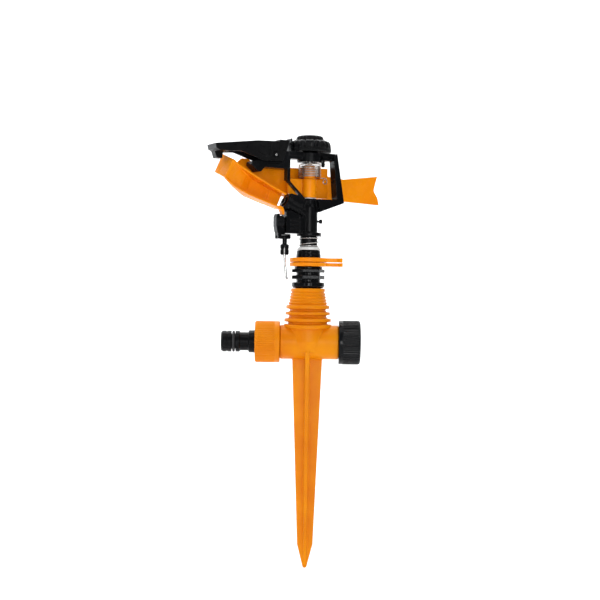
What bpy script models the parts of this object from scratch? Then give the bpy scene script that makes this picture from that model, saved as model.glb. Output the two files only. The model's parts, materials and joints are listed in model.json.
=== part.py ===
"""Impact (pulsating) garden sprinkler on a ground spike, as an assembly of separate pieces.

Frame: metres, +Z up.  The origin is on the turning axis of the head, at the soil line,
where the spike meets the inlet barrel.  The inlet barrel lies along X, with the hose
nipple at -X.  The head is drawn in its own frame (u along the frame's width, away from
the nozzle; v towards -Y) and turned by HEAD_TURN about Z.
"""

import math

import bmesh
import bpy
from mathutils import Matrix, Vector

MM = 0.001

# ---------------------------------------------------------------- driving dimensions (mm)
GAP = 0.3                 # clearance between pieces that touch on the real object

HEAD_TURN = math.radians(26.0)   # rest direction of the head, about Z
JET_RISE = math.radians(25.0)    # the nozzle's elevation

BARREL_Z = 13.7           # height of the inlet barrel's axis
BARREL_R = 13.0
BARREL_X = (-20.6, 23.3)  # the plain part of the barrel
SPIGOT_R = 12.3           # threaded ends under the union nut and the end cap
SPIGOT_X = (-31.9, 35.6)
BARREL_BORE = 9.6

SPIKE_TOP_W, SPIKE_LOW_W = 22.7, 11.8
SPIKE_LOW_Z, SPIKE_TIP_Z = -139.7, -157.9
BLADE_T = 3.0
RIB_T = 3.2

TOWER_TOP_Z, TOWER_TOP_R = 54.4, 12.7
TOWER_CAVITY_R, TOWER_CAVITY_Z = 9.9, 39.6
TOWER_BORE = 7.0

NUT_R, NUT_X = 15.7, (-39.7, -20.9)
CAP_R, CAP_X = 16.7, (23.6, 40.1)

STEM_R, STEM_BORE = 6.6, 4.4
HEX_AF = 22.0

COLLAR_R, COLLAR_BORE, TAB_R = 14.4, 8.95, 26.0

ARM_PIN_R = 2.0
HUB_R, HUB_Z = 5.3, (123.3, 137.3)
BACK_V = (-12.0, -9.8)    # the arm's back wall, which the water spoon hangs on

FLAP_AXIS = (-31.6, 153.6)    # (u, z) of the diffuser flap's pin
TRIP_Z = 104.0                # height of the trip lever's pin
KNUCKLE_Z = 92.8              # height of the trip pin holder's trunnions

# ---------------------------------------------------------------- scene and helpers


def clear_scene():
    for obj in list(bpy.data.objects):
        bpy.data.objects.remove(obj, do_unlink=True)


clear_scene()
PARTS = bpy.data.collections.new("impact_sprinkler")
bpy.context.scene.collection.children.link(PARTS)
CUTTERS = bpy.data.collections.new("cutters")
bpy.context.scene.collection.children.link(CUTTERS)
MATERIALS = {}


def material(name, colour, roughness, metallic=0.0):
    mat = bpy.data.materials.new(name)
    mat.use_nodes = True
    shader = mat.node_tree.nodes["Principled BSDF"]
    shader.inputs["Base Color"].default_value = (*colour, 1.0)
    shader.inputs["Roughness"].default_value = roughness
    shader.inputs["Metallic"].default_value = metallic
    return mat


ORANGE = ((0.91, 0.22, 0.004), 0.32, 0.0)
BLACK = ((0.012, 0.013, 0.015), 0.38, 0.0)
RUBBER = ((0.02, 0.02, 0.02), 0.8, 0.0)
STEEL = ((0.62, 0.62, 0.60), 0.25, 1.0)
WHITE = ((0.78, 0.78, 0.76), 0.4, 0.0)


def own_object(name, mesh, look):
    obj = bpy.data.objects.new(name, mesh)
    PARTS.objects.link(obj)
    if look is not None:
        obj.data.materials.clear()
        obj.data.materials.append(material(name, *look))
    return obj


def baked(obj, name=None):
    """The object's evaluated mesh in world space, as a new object; the old one is removed."""
    bpy.context.view_layer.update()
    graph = bpy.context.evaluated_depsgraph_get()
    mesh = bpy.data.meshes.new_from_object(obj.evaluated_get(graph))
    mesh.transform(obj.matrix_world)
    bm = bmesh.new()
    bm.from_mesh(mesh)
    bmesh.ops.remove_doubles(bm, verts=bm.verts, dist=2e-6)
    bmesh.ops.recalc_face_normals(bm, faces=bm.faces)
    bm.to_mesh(mesh)
    bm.free()
    keep = name or obj.name
    bpy.data.objects.remove(obj, do_unlink=True)
    new = bpy.data.objects.new(keep, mesh)
    PARTS.objects.link(new)
    return new


def turned(name, profile, steps=28, closed=True):
    """A solid of revolution about Z. profile is [(r, z)] in mm, running down its outer side.
    A closed profile stays off the axis; an open one starts and ends on it."""
    mesh = bpy.data.meshes.new(name)
    bm = bmesh.new()
    verts = [bm.verts.new((r * MM, 0, z * MM)) for r, z in profile]
    for a, b in zip(verts, verts[1:]):
        bm.edges.new((a, b))
    if closed:
        bm.edges.new((verts[-1], verts[0]))
    bm.to_mesh(mesh)
    bm.free()
    obj = bpy.data.objects.new(name, mesh)
    PARTS.objects.link(obj)
    screw = obj.modifiers.new("Turn", "SCREW")
    screw.angle = math.tau
    screw.steps = screw.render_steps = steps
    screw.use_merge_vertices = True
    screw.merge_threshold = 1e-5
    return obj


def rod(name, radius, z0, z1, steps=20):
    """A plain cylinder along Z, from a primitive."""
    mesh = bpy.data.meshes.new(name)
    bm = bmesh.new()
    bmesh.ops.create_cone(
        bm, cap_ends=True, segments=steps, radius1=radius * MM, radius2=radius * MM,
        depth=(z1 - z0) * MM,
    )
    bmesh.ops.translate(bm, verts=bm.verts, vec=(0, 0, (z0 + z1) / 2 * MM))
    bm.to_mesh(mesh)
    bm.free()
    obj = bpy.data.objects.new(name, mesh)
    PARTS.objects.link(obj)
    return obj


def box(name, low, high):
    mesh = bpy.data.meshes.new(name)
    bm = bmesh.new()
    bmesh.ops.create_cube(bm, size=1.0)
    size = [(b - a) * MM for a, b in zip(low, high)]
    mid = [(a + b) / 2 * MM for a, b in zip(low, high)]
    bmesh.ops.scale(bm, verts=bm.verts, vec=size)
    bmesh.ops.translate(bm, verts=bm.verts, vec=mid)
    bm.to_mesh(mesh)
    bm.free()
    obj = bpy.data.objects.new(name, mesh)
    PARTS.objects.link(obj)
    return obj


def plate(name, outline, y0, y1):
    """A flat outline [(x, z)] in mm, standing in the XZ plane, from y0 to y1: a filled 2D
    curve, extruded by half its thickness each way."""
    curve = bpy.data.curves.new(name, "CURVE")
    curve.dimensions = "2D"
    curve.fill_mode = "BOTH"
    curve.extrude = abs(y1 - y0) / 2 * MM
    spline = curve.splines.new("POLY")
    spline.points.add(len(outline) - 1)
    for point, (x, z) in zip(spline.points, outline):
        point.co = (x * MM, z * MM, 0, 1)
    spline.use_cyclic_u = True
    obj = bpy.data.objects.new(name, curve)
    PARTS.objects.link(obj)
    obj.rotation_euler = (math.pi / 2, 0, 0)
    obj.location = (0, (y0 + y1) / 2 * MM, 0)
    return baked(obj)


def wire(name, points, radius, sides=2):
    """A bent wire through points in mm."""
    curve = bpy.data.curves.new(name, "CURVE")
    curve.dimensions = "3D"
    curve.bevel_depth = radius * MM
    curve.bevel_resolution = sides
    curve.use_fill_caps = True
    spline = curve.splines.new("POLY")
    spline.points.add(len(points) - 1)
    for point, place in zip(spline.points, points):
        point.co = (*[c * MM for c in place], 1)
    obj = bpy.data.objects.new(name, curve)
    PARTS.objects.link(obj)
    return baked(obj)


def moved(obj, matrix):
    """Moves the object's points, so that its own place stays at the world's origin."""
    if obj.modifiers or obj.matrix_world != Matrix.Identity(4):
        obj = baked(obj)
    obj.data.transform(matrix)
    if matrix.determinant() < 0:
        obj.data.flip_normals()
    return obj


def shift(x, y, z):
    return Matrix.Translation((x * MM, y * MM, z * MM))


def along_x(obj, x=0.0, y=0.0, z=0.0):
    """Turns a piece drawn about Z so that its Z runs along +X."""
    return moved(obj, shift(x, y, z) @ Matrix.Rotation(math.pi / 2, 4, "Y"))


def along_v(obj, u, z):
    """Turns a piece drawn about Z so that it runs along -Y, through (u, z)."""
    return moved(obj, shift(u, 0, z) @ Matrix.Rotation(math.pi / 2, 4, "X"))


def boolean(obj, others, operation, solver="EXACT"):
    for other in others:
        if other.modifiers:
            other = baked(other)
        step = obj.modifiers.new(operation.title(), "BOOLEAN")
        step.operation = operation
        step.solver = solver
        step.object = other
        name = obj.name
        obj = baked(obj, name)
        bpy.data.objects.remove(other, do_unlink=True)
    return obj


def joined(obj, *others, solver="EXACT"):
    return boolean(baked(obj) if obj.modifiers else obj, others, "UNION", solver)


def cut(obj, *others):
    return boolean(baked(obj) if obj.modifiers else obj, others, "DIFFERENCE")


def finished(obj, name, look, turn=0.0, origin=(0, 0, 0), smooth=35):
    """The node itself: named, coloured, shaded, turned with the head and with its origin
    on its own axis."""
    if obj.modifiers or obj.matrix_world != Matrix.Identity(4):
        obj = baked(obj)
    mesh = obj.data
    mesh.transform(Matrix.Rotation(turn, 4, "Z"))
    place = Matrix.Rotation(turn, 4, "Z") @ (Vector(origin) * MM)
    mesh.transform(Matrix.Translation(-place))
    obj.location = place
    obj.name = name
    mesh.name = name
    mesh.materials.clear()
    mesh.materials.append(material(name, *look))
    mesh.shade_smooth()
    mesh.set_sharp_from_angle(angle=math.radians(smooth))
    return obj


def arc(cx, cz, r, a0, a1, n):
    """Points on a circle, from angle a0 to a1 in degrees."""
    step = (a1 - a0) / n
    return [
        (cx + r * math.cos(math.radians(a0 + step * i)), cz + r * math.sin(math.radians(a0 + step * i)))
        for i in range(n + 1)
    ]


def coil(radius, z0, z1, turns, per_turn, start=0.0):
    """Points along a coil spring whose end turns close up."""
    count = int(turns * per_turn)
    points = []
    for i in range(count + 1):
        a = math.radians(start) + math.tau * turns * i / count
        t = i / count
        points.append((radius * math.cos(a), radius * math.sin(a), z0 + (z1 - z0) * t))
    return points


# ================================================================ the fixed base


def spike_base():
    """Spike, inlet barrel and ribbed tower, one moulding with bores for the water."""
    barrel = along_x(rod("barrel", BARREL_R, BARREL_X[0], BARREL_X[1], 28), 0, 0, BARREL_Z)
    spigot = along_x(rod("spigot", SPIGOT_R, SPIGOT_X[0], SPIGOT_X[1], 28), 0, 0, BARREL_Z)
    rings = [(39.0, 41.7, 15.8), (34.4, 36.6, 16.3), (29.2, 31.7, 17.3), (24.4, 27.4, 18.0)]
    profile = [(0, TOWER_TOP_Z), (TOWER_TOP_R, TOWER_TOP_Z)]
    for i in range(5):
        z = TOWER_TOP_Z - 1.5 - 2.3 * i
        r = TOWER_TOP_R + 0.45 * i
        profile += [(r + 0.3, z), (r - 0.35, z - 0.95)]
    for low, high, r in rings:
        profile += [(r - 1.9, high + 0.15), (r, high), (r, low), (r - 1.7, low - 0.15)]
    profile += [(15.2, 14.0), (12.0, 6.0), (0, 6.0)]
    tower = turned("tower", profile, 24, closed=False)
    w, lw = SPIKE_TOP_W / 2, SPIKE_LOW_W / 2
    outline = [(w, 8.0), (lw, SPIKE_LOW_Z), (1.7, SPIKE_TIP_Z + 1.2), (0, SPIKE_TIP_Z),
               (-1.7, SPIKE_TIP_Z + 1.2), (-lw, SPIKE_LOW_Z), (-w, 8.0)]
    blade = plate("blade", outline, -BLADE_T / 2, BLADE_T / 2)
    rib_line = [(13.35, 9.0), (12.9, 4.0), (10.6, -2.0), (5.4, SPIKE_LOW_Z), (1.2, SPIKE_TIP_Z + 3.0),
                (-1.2, SPIKE_TIP_Z + 3.0), (-5.4, SPIKE_LOW_Z), (-10.6, -2.0), (-12.9, 4.0), (-13.35, 9.0)]
    rib = moved(plate("rib", rib_line, -RIB_T / 2, RIB_T / 2), Matrix.Rotation(math.pi / 2, 4, "Z"))
    # both webs thin down towards the tip
    for web, axis in ((blade, 1), (rib, 0)):
        for vertex in web.data.vertices:
            fall = min(max(-vertex.co.z / (-SPIKE_TIP_Z * MM), 0), 1)
            vertex.co[axis] *= 1 - 0.36 * fall
    body = joined(barrel, spigot, tower, blade, rib)
    bore = along_x(rod("bore", BARREL_BORE, SPIGOT_X[0] - 2, SPIGOT_X[1] + 2, 20), 0, 0, BARREL_Z)
    riser = rod("riser", TOWER_BORE, BARREL_Z, TOWER_TOP_Z + 2, 20)
    cavity = rod("cavity", TOWER_CAVITY_R, TOWER_CAVITY_Z, TOWER_TOP_Z + 2, 24)
    return finished(cut(body, bore, riser, cavity), "spike_base", ORANGE)


def hose_nipple():
    """The male hose adaptor, drawn about Z with Z as world X."""
    profile = [(4.5, -34.5), (11.9, -34.5), (11.9, -36.9), (8.5, -36.9), (8.5, -44.2), (7.9, -44.7),
               (7.0, -44.7), (7.0, -51.1), (7.6, -51.1), (8.0, -51.6), (8.0, -54.4), (5.85, -54.4),
               (5.85, -57.6), (8.0, -57.6), (8.0, -63.9), (7.2, -65.4), (4.5, -65.4)]
    return finished(along_x(turned("nipple", profile, 24), 0, 0, BARREL_Z), "hose_nipple", BLACK,
                    origin=(-50, 0, BARREL_Z))


def flat_ring(name, r0, r1, z0, z1, steps=24):
    return turned(name, [(r0, z1), (r1, z1), (r1, z0), (r0, z0)], steps)


def o_ring(name, major, minor, z, steps=28, around=8):
    return turned(name, [(major + minor * math.cos(a), z - minor * math.sin(a))
                         for a in (math.tau * i / around for i in range(around))], steps)


def inlet_fittings():
    finished(along_x(o_ring("ring", 7.05, 0.98, -56.0, 24, 6), 0, 0, BARREL_Z), "nipple_o_ring", RUBBER,
             origin=(-56, 0, BARREL_Z))
    finished(along_x(flat_ring("gasket", 6.5, 11.8, -34.2, -32.2), 0, 0, BARREL_Z), "inlet_gasket",
             RUBBER, origin=(-33.2, 0, BARREL_Z))
    x0, x1 = NUT_X
    inner = SPIGOT_R + GAP
    nut = [(inner, x1), (NUT_R - 0.5, x1), (NUT_R, x1 - 0.6), (NUT_R, x0 + 1.0), (NUT_R - 1.0, x0),
           (8.8, x0), (8.8, -37.2), (inner, -37.2)]
    finished(along_x(turned("nut", nut, 28), 0, 0, BARREL_Z), "union_nut", ORANGE,
             origin=(-30, 0, BARREL_Z))
    x0, x1 = CAP_X
    cap = [(0, x1), (CAP_R - 1.8, x1), (CAP_R - 0.5, x1 - 0.6), (CAP_R, x1 - 1.8), (CAP_R, x0 + 0.4),
           (CAP_R - 0.4, x0), (inner, x0), (inner, 38.0), (0, 38.0)]
    finished(along_x(turned("cap", cap, 28, closed=False), 0, 0, BARREL_Z), "end_cap", BLACK,
             origin=(30, 0, BARREL_Z))
    finished(along_x(flat_ring("seal", 6.5, 11.8, 35.9, 37.7), 0, 0, BARREL_Z), "end_cap_gasket",
             RUBBER, origin=(36.8, 0, BARREL_Z))


def hex_band(name, z0, z1):
    """A hexagonal band, one of its flats facing -Y turned a little to the right."""
    r = HEX_AF / 2 / math.cos(math.pi / 6)
    profile = [(0, z1), (r, z1), (r, z0), (0, z0)]
    return moved(turned(name, profile, 6, closed=False), Matrix.Rotation(math.radians(10.0), 4, "Z"))


def bearing_nut():
    """The threaded bearing: hexagon outside, spigot inside the tower, neck for the collars."""
    bore = STEM_R + 0.35
    profile = [(bore, 83.3), (8.3, 83.3), (8.7, 83.0), (9.4, 78.1), (8.6, 77.95), (8.6, 70.8), (10.6, 70.8),
               (10.6, 69.0), (9.1, 68.8), (9.1, 59.2), (12.2, 59.0), (12.5, 58.7), (12.5, 56.1), (11.3, 54.7),
               (9.55, 54.7), (9.55, 46.6), (9.2, 46.1), (bore, 46.1)]
    core = turned("core", profile, 24)
    body = joined(core, hex_band("hex_a", 61.4, 64.3), hex_band("hex_b", 66.5, 69.0))
    body = cut(body, rod("hole", bore, 45, 85, 24))
    return finished(body, "bearing_nut", BLACK)


def collar(name, z0, z1, spread):
    ring = flat_ring("ring", COLLAR_BORE, COLLAR_R, z0, z1, 28)
    tab = moved(plate("tab", [(12.6, -3.4), (22.0, -3.0), (25.2, -4.6), (TAB_R, -3.2), (TAB_R, 3.2),
                              (25.2, 4.6), (22.0, 3.0), (12.6, 3.4)], -(z1 - z0) / 2, (z1 - z0) / 2),
                shift(0, 0, (z0 + z1) / 2) @ Matrix.Rotation(math.radians(spread), 4, "Z")
                @ Matrix.Rotation(-math.pi / 2, 4, "X"))
    return finished(joined(ring, tab), name, ORANGE, origin=(0, 0, (z0 + z1) / 2))


def bearing():
    finished(flat_ring("w", 7.0, 9.4, 44.0, 45.8), "stem_washer", WHITE, origin=(0, 0, 45))
    finished(flat_ring("s", 7.0, 9.4, 42.6, 43.7), "stem_seal", RUBBER, origin=(0, 0, 43))
    stem = [(STEM_BORE, 99.0), (5.5, 99.0), (5.5, 93.7), (STEM_R, 93.7), (STEM_R, 42.3), (9.3, 42.3), (9.3, 40.1), (STEM_BORE, 40.1)]
    finished(turned("stem", stem, 24), "swivel_stem", BLACK)
    finished(turned("t", [(7.0, 85.9), (7.6, 85.9), (8.3, 85.5), (8.8, 84.1), (8.8, 83.6), (7.0, 83.6)], 24),
             "thrust_washer", WHITE, origin=(0, 0, 84.5))
    finished(wire("w", coil(7.75, 86.75, 93.15, 3.0, 12, 200), 0.42, 1), "bearing_spring", STEEL)


# ================================================================ the turning head


def nozzle_place(length):
    """(u, z) on the nozzle's axis, length mm from the turning axis."""
    return (-length * math.cos(JET_RISE), 109.9 + length * math.sin(JET_RISE))


def on_jet(obj):
    """Turns a piece drawn up +Z so that it runs out along the jet, from the turning axis."""
    return moved(obj, shift(0, 0, 109.9) @ Matrix.Rotation(-(math.pi / 2 - JET_RISE), 4, "Y"))


def head_body():
    """Stem socket, nozzle barrel, bridge frame, flap bracket and trip housing: one moulding."""
    tube = turned("tube", [(0, 121.9), (5.6, 121.9), (5.9, 118.0), (6.5, 116.0), (6.5, 97.0), (9.2, 96.7),
                           (9.2, 94.0), (0, 94.0)], 28, closed=False)
    barrel = on_jet(rod("barrel", 4.4, 0.0, 23.0, 20))
    flange = on_jet(rod("flange", 5.9, 19.2, 23.2, 20))
    rib = plate("rib", [(-7.6, 96.0), (-7.6, 110.0), (-3.0, 110.0), (-3.0, 96.0)], -4.5, 4.5)
    housing = plate("housing", [(-20.9, 95.6), (-20.9, 111.6), (-17.5, 112.8), (-7.0, 108.2), (-7.0, 95.6)], -4.8, 4.8)
    sill = plate("sill", [(25.0, 120.0), (24.4, 122.3), (-3.0, 122.3), (-5.0, 119.0), (0, 112.0), (7.0, 112.4)], -5.0, 1.0)
    corner = plate("corner", [(25.1, 119.6), (24.6, 122.2), (3.0, 121.8), (5.0, 112.3)], -9.4, -0.6)
    right = plate("right", [(16.2, 154.0), (19.0, 121.0), (25.2, 119.6), (18.9, 157.2)], -9.5, -0.5)
    bar = plate("bar", [(-19.6, 157.2), (-20.4, 152.2), (16.6, 152.2), (18.9, 157.2)], -5.9, 5.9)
    boss = rod("boss", 9.6, 149.9, 156.9, 28)
    stop = plate("stop", [(-17.9, 155.0), (-16.9, 155.0), (-16.9, 167.2), (-17.9, 167.2)], -5.0, 5.0)
    left = plate("left", [(-20.9, 135.2), (-18.4, 135.2), (-18.4, 153.0), (-20.9, 153.0)], -4.9, 1.2)
    brace = plate("brace", [(-20.9, 137.4), (-20.9, 135.2), (-5.4, 120.0), (-3.2, 120.0)], -4.7, -0.6)
    bracket = plate("bracket", [(-19.0, 157.2), (-28.0, 157.2), (-35.2, 156.8), (-41.5, 150.4), (-50.0, 148.0),
                                (-50.4, 145.4), (-45.0, 140.6), (-42.8, 140.6), (-39.5, 144.1), (-19.0, 143.9)], -5.5, 5.5)
    fill = on_jet(rod("fill", 3.0, -1.0, 20.0, 12))
    lug = rod("lug", 1.6, 94.0, 97.0, 12)
    lug = moved(lug, shift(8.9, 0, 0))
    anchor = moved(rod("anchor", 1.3, 147.0, 153.5, 12), shift(11.1, -0.6, 0))
    body = joined(tube, barrel, flange, rib, housing, sill, corner, right, bar, boss, stop, anchor, left, brace, bracket,
                  fill, lug)
    waterway = rod("waterway", 5.8, 93.0, 99.4, 24)
    riser = rod("riser", STEM_BORE, 93.0, 111.5, 20)
    jet = on_jet(rod("jet", 2.6, 0.0, 25.0, 16))
    seat = on_jet(rod("seat", 3.9, 18.6, 25.0, 18))
    pin_hole = rod("pin_hole", ARM_PIN_R + 0.1, 115.4, 124.0, 18)
    cap_hole = rod("cap_hole", 5.8, 148.0, 159.0, 24)
    hinge = along_v(rod("hinge", 1.2, -8.0, 8.0, 14), *FLAP_AXIS)
    pivot = along_x(rod("pivot", 1.5, -24.0, -9.0, 14), 0, 0, TRIP_Z)
    room = box("room", (-18.6, -4.0, 97.6), (-9.4, 6.0, 107.0))
    return finished(cut(body, waterway, riser, jet, seat, pin_hole, cap_hole, hinge, room, pivot),
                    "head_body", BLACK, HEAD_TURN)


def hammer_arm():
    """The swinging arm: hub, spring post, back wall, counterweight tail and water spoon."""
    hub = turned("hub", [(0, 148.2), (3.9, 148.2), (4.2, 147.8), (4.2, HUB_Z[1]), (HUB_R, HUB_Z[1]),
                         (HUB_R, HUB_Z[0]), (0, HUB_Z[0])], 24, closed=False)
    skin = plate("skin", [(-16.9, 125.8), (-5.0, 123.6), (16.3, 123.4), (16.3, 137.4), (-15.4, 137.4), (-17.4, 135.4)], 1.6, 3.6)
    shelf = box("shelf", (-14.8, 2.2, 135.2), (15.6, 11.0, 137.1))
    foot = box("foot", (-7.0, 2.4, 123.8), (15.8, 11.2, 125.6))
    end = box("end", (14.2, 2.0, 124.4), (16.0, 10.8, 136.4))
    wall = plate("wall", [(16.3, 123.4), (34.5, 122.6), (66.2, 121.0), (65.0, 126.6), (61.4, 132.2), (63.0, 138.6),
                          (64.6, 143.6), (34.5, 139.8), (20.6, 141.4), (20.6, 147.4), (-34.0, 145.6), (-41.0, 144.6),
                          (-43.0, 148.6), (-46.5, 151.2), (-52.0, 151.4), (-55.4, 148.0), (-67.4, 151.2), (-70.8, 143.2),
                          (-56.0, 137.6), (-30.0, 125.2), (-14.0, 123.9)], -BACK_V[1], -BACK_V[0])
    spoon = spoon_channel("spoon")
    end_plate = spoon_end("end_plate")
    tie = plate("tie", [(-31.0, 126.4), (-50.0, 136.0), (-50.0, 138.2), (-31.0, 128.6)], 5.3, 10.8)
    finger = plate("finger", [(-29.4, 116.4), (-26.2, 116.6), (-23.9, 115.0), (-22.9, 112.6), (-22.7, 109.6), (-24.0, 109.2),
                              (-24.6, 111.8), (-25.4, 113.3), (-28.2, 113.7)], -4.4, 0.8)
    peg = along_v(rod("peg", 1.1, 0.2, 3.0, 12), 13.4, 136.0)
    peg = moved(peg, shift(0, 2.6, 0))
    body = joined(hub, skin, shelf, foot, end, wall, spoon, end_plate, tie, finger, peg)
    return finished(cut(body, rod("bore", ARM_PIN_R + 0.3, 122, 150, 18)), "hammer_arm", ORANGE, HEAD_TURN)


# The water spoon runs along the jet.  Its front edges, as (u, z) of the top and the bottom lip,
# and how far its web stands towards the viewer (v) there.
SPOON = [
    (-22.6, 125.6, -27.4, 114.1, -3.4),
    (-30.4, 129.3, -35.2, 116.8, -3.4),
    (-31.4, 129.8, -36.4, 117.2, -4.4),
    (-45.4, 136.9, -51.5, 122.4, -4.9),
    (-49.4, 139.0, -55.8, 124.2, -2.2),
    (-51.8, 140.3, -58.2, 125.3, -0.4),
    (-57.0, 143.2, -63.6, 128.3, 2.4),
    (-62.4, 146.2, -69.2, 131.9, 5.6),
    (-65.6, 148.1, -72.4, 134.2, 7.0),
]
SPOON_WALL, SPOON_LIP, SPOON_LIP_T = 1.8, 5.4, 1.6
SPOON_REAR = (-67.0, 153.9, -73.2, 140.0, -11.6)     # rear edge of its closed end, as above


def lofted(name, rows):
    """A closed solid through rows of points, each row a loop with the same number of points."""
    mesh = bpy.data.meshes.new(name)
    bm = bmesh.new()
    rows = [[bm.verts.new([c * MM for c in p]) for p in row] for row in rows]
    count = len(rows[0])
    for a, b in zip(rows, rows[1:]):
        for i in range(count):
            j = (i + 1) % count
            bm.faces.new((a[i], a[j], b[j], b[i]))
    bm.faces.new(rows[0][::-1])
    bm.faces.new(rows[-1])
    bmesh.ops.recalc_face_normals(bm, faces=bm.faces)
    bm.to_mesh(mesh)
    bm.free()
    obj = bpy.data.objects.new(name, mesh)
    PARTS.objects.link(obj)
    return obj


def spoon_channel(name):
    """A web with a lip along its top and bottom edges, lofted because the web curves."""
    rows = []
    for tu, tz, bu, bz, v in SPOON:
        tall = math.hypot(tu - bu, tz - bz)
        t = SPOON_LIP_T / tall
        lip = max(SPOON_LIP, v + 0.9)
        section = [(v - SPOON_WALL, 0), (v - SPOON_WALL, 1), (lip, 1), (lip, 1 - t), (v, 1 - t), (v, t), (lip, t), (lip, 0)]
        rows.append([(bu + (tu - bu) * h, -w, bz + (tz - bz) * h) for w, h in section])
    return lofted(name, rows)


def spoon_end(name):
    """The closed end of the spoon, a slab from the vane's crest back to the arm's rear wall."""
    tu, tz, bu, bz, v = SPOON[-1]
    ru, rz, su, sz, rear = SPOON_REAR
    thick = (2.0 * math.cos(JET_RISE), -2.0 * math.sin(JET_RISE))
    # it covers the channel's end by 0.4 mm, and stands a little short of the lips
    tu, bu, tz, bz, v = tu - 0.36, bu - 0.36, tz + 0.17, bz + 0.17, v + 0.5
    front = [(tu, -v, tz), (bu, -v, bz), (bu + thick[0], -v, bz + thick[1]), (tu + thick[0], -v, tz + thick[1])]
    back = [(ru, -rear, rz), (su, -rear, sz), (su + thick[0], -rear, sz + thick[1]), (ru + thick[0], -rear, rz + thick[1])]
    return lofted(name, [front, back])


def head_small_parts():
    insert = cut(on_jet(rod("insert", 3.6, 19.0, 24.0, 18)), on_jet(rod("hole", 1.9, 17.0, 26.0, 14)))
    finished(insert, "nozzle_insert", BLACK, HEAD_TURN)
    finished(rod("pin", ARM_PIN_R - 0.1, 115.8, 164.0, 16), "pivot_pin", STEEL, HEAD_TURN)
    finished(flat_ring("washer", 2.3, 5.0, 122.55, 123.05, 20), "hub_washer", WHITE, HEAD_TURN, (0, 0, 122.8))
    turns = coil(8.35, 138.3, 149.0, 7.72, 10, 100)
    finished(wire("spring", turns, 0.36, 1), "arm_spring", STEEL, HEAD_TURN)
    cap = [(0, 170.4), (5.8, 170.4), (8.2, 169.8), (10.0, 168.5), (12.8, 166.4), (15.1, 164.0), (16.0, 161.4),
           (16.3, 158.2), (15.8, 157.5), (5.5, 157.5), (5.5, 150.6), (2.3, 150.6), (2.3, 164.6), (0, 164.6)]
    finished(turned("cap", cap, 28, closed=False), "tension_cap", BLACK, HEAD_TURN, (0, 0, 160))


def flap():
    outline = [(-80.6, 159.3), (-79.8, 155.6), (-77.5, 154.8), (-75.8, 149.6), (-71.3, 149.4), (-70.8, 154.0),
               (-60.0, 154.7), (-41.2, 148.6), (-25.8, 149.4), (-20.6, 164.6), (-28.6, 164.8), (-46.7, 163.3)]
    body = plate("flap", outline, -8.4, 8.4)
    hollow = plate("hollow", [(-69.0, 158.0), (-46.7, 161.0), (-18.0, 162.2), (-18.0, 146.0), (-69.0, 146.0)], -6.4, 6.4)
    step = plate("step", [(-90.0, 154.5), (-70.0, 154.2), (-70.0, 145.0), (-90.0, 145.0)], -12.0, 1.0)
    hinge = along_v(rod("hinge", 1.2, -10.0, 10.0, 14), *FLAP_AXIS)
    finished(cut(body, hollow, step, hinge), "diffuser_flap", BLACK, HEAD_TURN, (FLAP_AXIS[0], 0, FLAP_AXIS[1]))
    finished(along_v(rod("pin", 0.95, -8.3, 8.3, 12), *FLAP_AXIS), "flap_pin", STEEL, HEAD_TURN,
             (FLAP_AXIS[0], 0, FLAP_AXIS[1]))


def trip():
    """The reversing trip: paddle lever, its pin and bow spring, the pin holder and the trip pin."""
    paddle = plate("paddle", [(-21.5, 95.1), (-21.5, 107.4), (-25.3, 107.4), (-25.7, 109.2), (-26.3, 109.8), (-27.6, 109.5),
                              (-28.5, 107.8), (-28.5, 101.0), (-27.6, 96.6), (-27.0, 95.4), (-27.0, 91.4), (-24.6, 91.4),
                              (-24.6, 94.4), (-18.2, 94.4), (-18.2, 91.4), (-16.6, 91.4), (-16.6, 95.1)], -3.0, 3.0)
    paddle = joined(paddle, along_x(rod("hub", 4.2, -28.2, -21.4, 18), 0, 0, TRIP_Z))
    lever = cut(paddle, along_x(rod("bore", 1.55, -27.1, -20.0, 14), 0, 0, TRIP_Z),
                along_x(rod("holes", 1.05, -28.0, -15.0, 12), 0, 0, KNUCKLE_Z))
    finished(lever, "trip_lever", BLACK, HEAD_TURN, (-24, 0, TRIP_Z))
    finished(along_x(rod("pin", 1.25, -26.8, -9.3, 12), 0, 0, TRIP_Z), "trip_pivot", STEEL, HEAD_TURN,
             (-20, 0, TRIP_Z))
    bow = [(-12.0, 7.2, 104.2)] + [
        (9.3 * math.cos(math.radians(a)), 9.3 * math.sin(math.radians(a)), 104.2 + 1.2 * (140 - a) / 140)
        for a in range(140, -1, -14)] + [(9.2, -1.6, 105.4)]
    finished(wire("bow", bow, 0.45), "trip_spring", STEEL, HEAD_TURN)
    holder = joined(along_x(rod("knuckle", 1.5, -24.2, -18.6, 14), 0, 0, KNUCKLE_Z),
                    along_x(rod("trunnions", 0.8, -26.2, -16.9, 12), 0, 0, KNUCKLE_Z),
                    moved(rod("stem", 1.8, 87.0, KNUCKLE_Z, 14), shift(-20.2, 0, 0)),
                    moved(rod("socket", 3.3, 79.4, 87.5, 20), shift(-20.2, 0, 0)))
    holder = cut(holder, moved(rod("hole", 1.25, 78.0, 86.6, 14), shift(-20.3, 0, 0)))
    finished(holder, "trip_pin_holder", BLACK, HEAD_TURN, (-20.2, 0, KNUCKLE_Z))
    pin = [(-20.3, 0, 86.2), (-20.3, 0, 79.0), (-18.6, 0, 63.2), (-17.6, 0, 61.2)]
    finished(wire("pin", pin, 0.9), "trip_pin", STEEL, HEAD_TURN, (-20.3, 0, 80))


spike_base()
hose_nipple()
inlet_fittings()
bearing_nut()
collar("lower_collar", 71.1, 74.0, 3.0)
collar("upper_collar", 74.4, 77.6, -3.0)
bearing()
head_body()
hammer_arm()
head_small_parts()
flap()
trip()
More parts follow.
